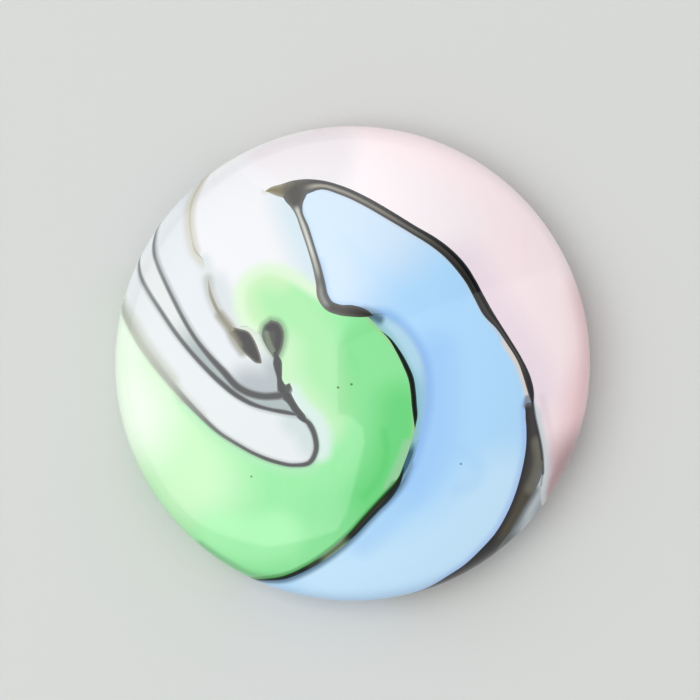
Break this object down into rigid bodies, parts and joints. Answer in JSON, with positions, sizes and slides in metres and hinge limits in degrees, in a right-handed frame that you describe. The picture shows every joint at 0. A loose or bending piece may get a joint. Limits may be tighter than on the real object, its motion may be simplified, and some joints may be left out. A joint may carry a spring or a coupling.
{
  "type": "glass cabochon",
  "caption": "Round domed glass cabochon with a flat back, in pastel colours raked into a swirl with thin dark trails.",
  "frame": {"origin": "centre of the flat back face", "axes": "+Z out of the crown of the dome; +Y towards the top of the swirl"},
  "size_m": [0.025, 0.025, 0.0075],
  "materials": {
    "core_gather": "gloss",
    "pink_field": "gloss",
    "blue_field": "gloss",
    "green_field": "gloss",
    "white_crown": "gloss",
    "outer_white_tongue": "gloss",
    "white_sliver": "gloss",
    "inner_white_tongue": "gloss",
    "smoky_wedge": "gloss",
    "aqua_halo": "gloss",
    "crest_trail": "gloss",
    "smoky_band": "gloss",
    "fork_trail": "gloss",
    "green_edge_trail": "gloss",
    "green_foot_trail": "gloss",
    "loop_trail": "gloss",
    "lower_twin_trail": "gloss",
    "upper_twin_trail": "gloss",
    "hook_trail": "gloss",
    "dark_eye": "gloss",
    "dark_teardrop": "gloss",
    "upper_veil_trail": "gloss",
    "lower_veil_trail": "gloss"
  },
  "bodies": {
    "root": {"core_gather": "core_gather", "pink_field": "pink_field", "blue_field": "blue_field", "green_field": "green_field", "white_crown": "white_crown", "outer_white_tongue": "outer_white_tongue", "white_sliver": "white_sliver", "inner_white_tongue": "inner_white_tongue", "smoky_wedge": "smoky_wedge", "aqua_halo": "aqua_halo", "crest_trail": "crest_trail", "smoky_band": "smoky_band", "fork_trail": "fork_trail", "green_edge_trail": "green_edge_trail", "green_foot_trail": "green_foot_trail", "loop_trail": "loop_trail", "lower_twin_trail": "lower_twin_trail", "upper_twin_trail": "upper_twin_trail", "hook_trail": "hook_trail", "dark_eye": "dark_eye", "dark_teardrop": "dark_teardrop", "upper_veil_trail": "upper_veil_trail", "lower_veil_trail": "lower_veil_trail"}
  },
  "joints": []
}
